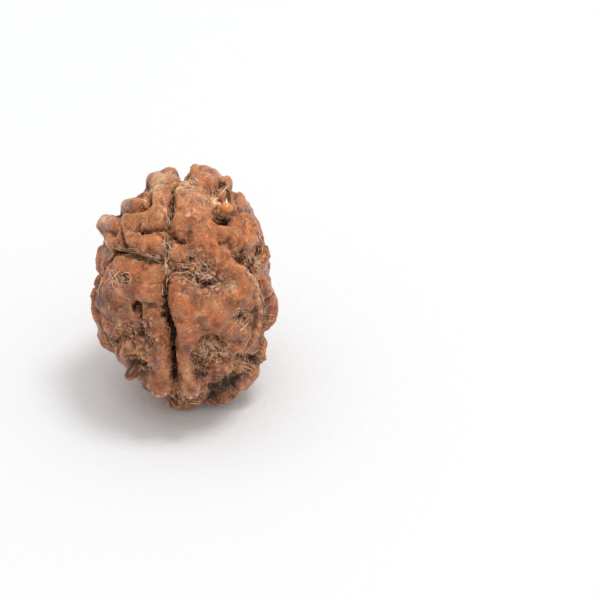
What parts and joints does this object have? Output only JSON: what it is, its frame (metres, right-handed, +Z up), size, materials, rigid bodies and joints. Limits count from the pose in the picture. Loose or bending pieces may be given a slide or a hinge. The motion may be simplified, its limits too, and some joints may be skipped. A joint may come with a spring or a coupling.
{
  "type": "rudraksha seed",
  "caption": "Dried seed stone of the rudraksha tree: an egg-shaped woody bead covered in knobbly ridges, pits and long furrows, standing on its lower end.",
  "frame": {"origin": "middle of the seed's footprint box, on the flat spot that it stands on", "axes": "+Z up along the seed's length, -Y towards the face that the picture shows, +X to that face's right"},
  "size_m": [0.02, 0.0206, 0.0256],
  "materials": {
    "seed": "dry, semi-dull orange-brown stone, darker and rougher in its pits and furrows"
  },
  "bodies": {
    "root": {"seed": "seed"}
  },
  "joints": []
}
